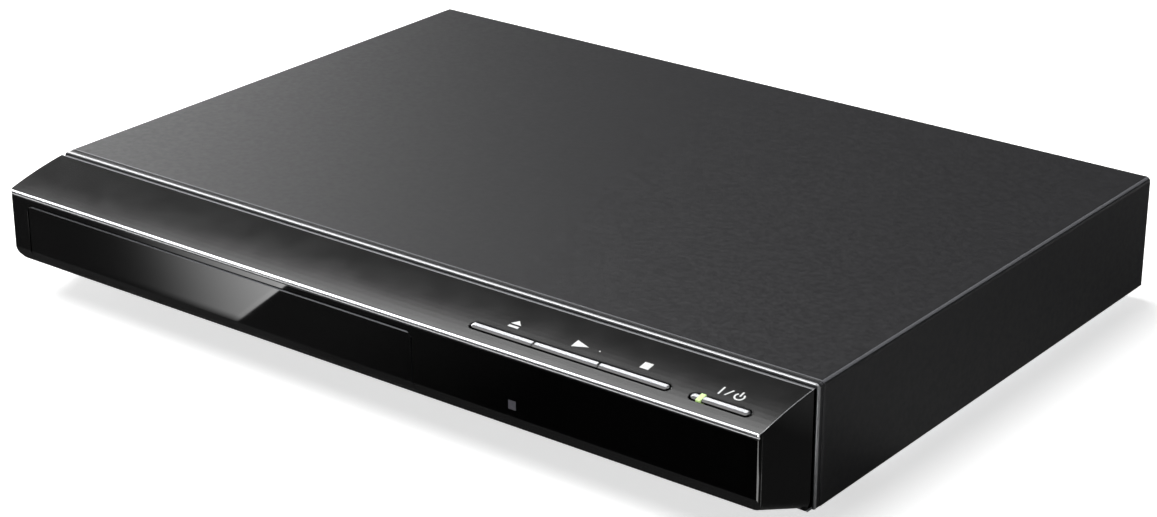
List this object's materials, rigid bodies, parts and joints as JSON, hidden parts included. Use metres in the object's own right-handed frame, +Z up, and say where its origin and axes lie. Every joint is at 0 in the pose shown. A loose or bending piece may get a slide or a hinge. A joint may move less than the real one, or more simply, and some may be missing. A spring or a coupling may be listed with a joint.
{
  "type": "dvd player with tray",
  "caption": "Slim disc player: folded steel case, gloss bezel with sloped top, front-loading disc tray, press buttons and rear phono sockets.",
  "frame": {"origin": "on the table under the middle of the case, midway between its front face and the tips of the rear sockets", "axes": "+X to the right seen from the front, +Y to the back, +Z up; the tray slides out along -Y"},
  "size_m": [0.27, 0.207, 0.0385],
  "materials": {
    "cover_paint": "fine textured charcoal paint",
    "zinc_steel": "zinc plated",
    "rear_paint": "satin black paint",
    "foot_rubber": "moulded",
    "black_screws": "black oxide",
    "gloss_bezel": "high gloss",
    "sensor_window": "dark translucent",
    "silver_buttons": "satin silver lacquer",
    "green_light": "lit translucent",
    "circuit_board": "solder mask",
    "switch_black": "moulded",
    "clear_led": "clear",
    "sensor_black": "moulded",
    "tray_black": "fine spark texture",
    "gloss_door": "high gloss",
    "frame_black": "moulded",
    "zinc_screws": "zinc plated",
    "motor_can": "nickel plated can",
    "white_acetal": "natural acetal",
    "belt_rubber": "ground",
    "clamper_white": "moulded",
    "magnet_grey": "sintered",
    "bush_rubber": "soft",
    "turntable_black": "moulded",
    "polished_rod": "ground",
    "sled_casting": "filled plastic",
    "lens_glass": "coated",
    "chip_black": "moulded",
    "capacitor_sleeve": "shrink sleeve",
    "power_board": "paper laminate",
    "transformer_tape": "tape",
    "heat_sink": "extruded",
    "filter_block": "moulded",
    "jack_black": "moulded",
    "jack_rings": "moulded",
    "nickel_sleeves": "nickel plated",
    "flat_cable": "film",
    "wire_red": "insulated wire"
  },
  "bodies": {
    "case": {"top_cover": "cover_paint", "bottom_chassis": "zinc_steel", "rear_panel": "rear_paint", "feet": "foot_rubber", "cover_screws": "black_screws", "front_bezel": "gloss_bezel", "sensor_window": "sensor_window", "front_board": "circuit_board", "button_switches": "switch_black", "power_led": "clear_led", "remote_sensor": "sensor_black", "loader_frame": "frame_black", "loader_screws": "zinc_screws", "loading_motor": "motor_can", "drive_belt": "belt_rubber", "clamper_bridge": "zinc_steel", "main_board": "circuit_board", "main_chips": "chip_black", "main_capacitors": "capacitor_sleeve", "power_board": "power_board", "transformer": "transformer_tape", "mains_capacitor": "capacitor_sleeve", "heat_sink": "heat_sink", "mains_filter": "filter_block", "board_screws": "zinc_screws", "jack_housings": "jack_black", "jack_rings": "jack_rings", "jack_sleeves": "nickel_sleeves", "mains_inlet": "jack_black", "inlet_pins": "nickel_sleeves", "flat_cables": "flat_cable", "wire_harness": "wire_red"},
    "tray": {"tray": "tray_black", "tray_door": "gloss_door"},
    "drive_gear": {"drive_gear": "white_acetal"},
    "pulley_gear": {"pulley_gear": "white_acetal"},
    "motor_pulley": {"motor_pulley": "white_acetal"},
    "cam_slider": {"cam_slider": "white_acetal"},
    "traverse": {"traverse_holder": "frame_black", "traverse_bushes": "bush_rubber", "traverse_plate": "zinc_steel", "traverse_screws": "zinc_screws", "spindle_motor": "motor_can", "guide_rods": "polished_rod", "sled_motor": "motor_can"},
    "turntable": {"turntable": "turntable_black"},
    "pickup": {"pickup_sled": "sled_casting", "pickup_lens": "lens_glass"},
    "lead_screw": {"lead_screw": "polished_rod"},
    "clamper": {"clamper": "clamper_white", "clamper_magnet": "magnet_grey"},
    "eject_button": {"eject_button": "silver_buttons"},
    "play_button": {"play_button": "silver_buttons"},
    "stop_button": {"stop_button": "silver_buttons"},
    "power_button": {"power_button": "silver_buttons", "power_light": "green_light"}
  },
  "joints": [
    {"name": "tray_slide", "type": "slide", "parent": "case", "child": "tray", "axis": [0, -1, 0], "range_m": [0, 0.132]},
    {"name": "drive_gear_turn", "type": "hinge", "parent": "case", "child": "drive_gear", "pos_m": [-0.0037, -0.061, 0.018], "axis": [0, 0, 1], "range_deg": [-1081, 0]},
    {"name": "pulley_gear_turn", "type": "hinge", "parent": "case", "child": "pulley_gear", "pos_m": [-0.02261, -0.06433, 0.018], "axis": [0, 0, 1], "range_deg": [0, 3242]},
    {"name": "motor_pulley_turn", "type": "hinge", "parent": "case", "child": "motor_pulley", "pos_m": [-0.05611, -0.0662, 0.02], "axis": [0, 0, 1], "range_deg": [0, 10805]},
    {"name": "cam_slide", "type": "slide", "parent": "case", "child": "cam_slider", "axis": [-1, 0, 0], "range_m": [0, 0.02]},
    {"name": "drive_lift", "type": "hinge", "parent": "case", "child": "traverse", "pos_m": [-0.0517, 0.062, 0.015], "axis": [-1, 0, 0], "range_deg": [0, 3.56]},
    {"name": "turntable_spin", "type": "hinge", "parent": "traverse", "child": "turntable", "pos_m": [-0.0517, -0.03163, 0.01419], "axis": [0, -0.062, 0.9981], "continuous": true},
    {"name": "pickup_slide", "type": "slide", "parent": "traverse", "child": "pickup", "axis": [0, 0.9981, 0.062], "range_m": [0, 0.034]},
    {"name": "lead_screw_turn", "type": "hinge", "parent": "traverse", "child": "lead_screw", "pos_m": [-0.0387, 0.00029, 0.00836], "axis": [0, 0.9981, 0.062], "range_deg": [0, 4080]},
    {"name": "clamper_spin", "type": "hinge", "parent": "case", "child": "clamper", "pos_m": [-0.0517, -0.0315, 0.03], "axis": [0, 0, 1], "continuous": true},
    {"name": "eject_press", "type": "slide", "parent": "case", "child": "eject_button", "axis": [0, 0.2235, -0.9747], "range_m": [0, 0.0006], "stiffness_N_per_m": 300},
    {"name": "play_press", "type": "slide", "parent": "case", "child": "play_button", "axis": [0, 0.2235, -0.9747], "range_m": [0, 0.0006], "stiffness_N_per_m": 300},
    {"name": "stop_press", "type": "slide", "parent": "case", "child": "stop_button", "axis": [0, 0.2235, -0.9747], "range_m": [0, 0.0006], "stiffness_N_per_m": 300},
    {"name": "power_press", "type": "slide", "parent": "case", "child": "power_button", "axis": [0, 0.2235, -0.9747], "range_m": [0, 0.0006], "stiffness_N_per_m": 300}
  ],
  "couplings": [
    {"joint": "drive_gear_turn", "follows": "tray_slide", "rad_per_m": -142.86},
    {"joint": "pulley_gear_turn", "follows": "tray_slide", "rad_per_m": 428.57},
    {"joint": "motor_pulley_turn", "follows": "tray_slide", "rad_per_m": 1428.6},
    {"joint": "cam_slide", "follows": "drive_lift", "m_per_rad": 0.32221},
    {"joint": "lead_screw_turn", "follows": "pickup_slide", "rad_per_m": 2094.4}
  ]
}
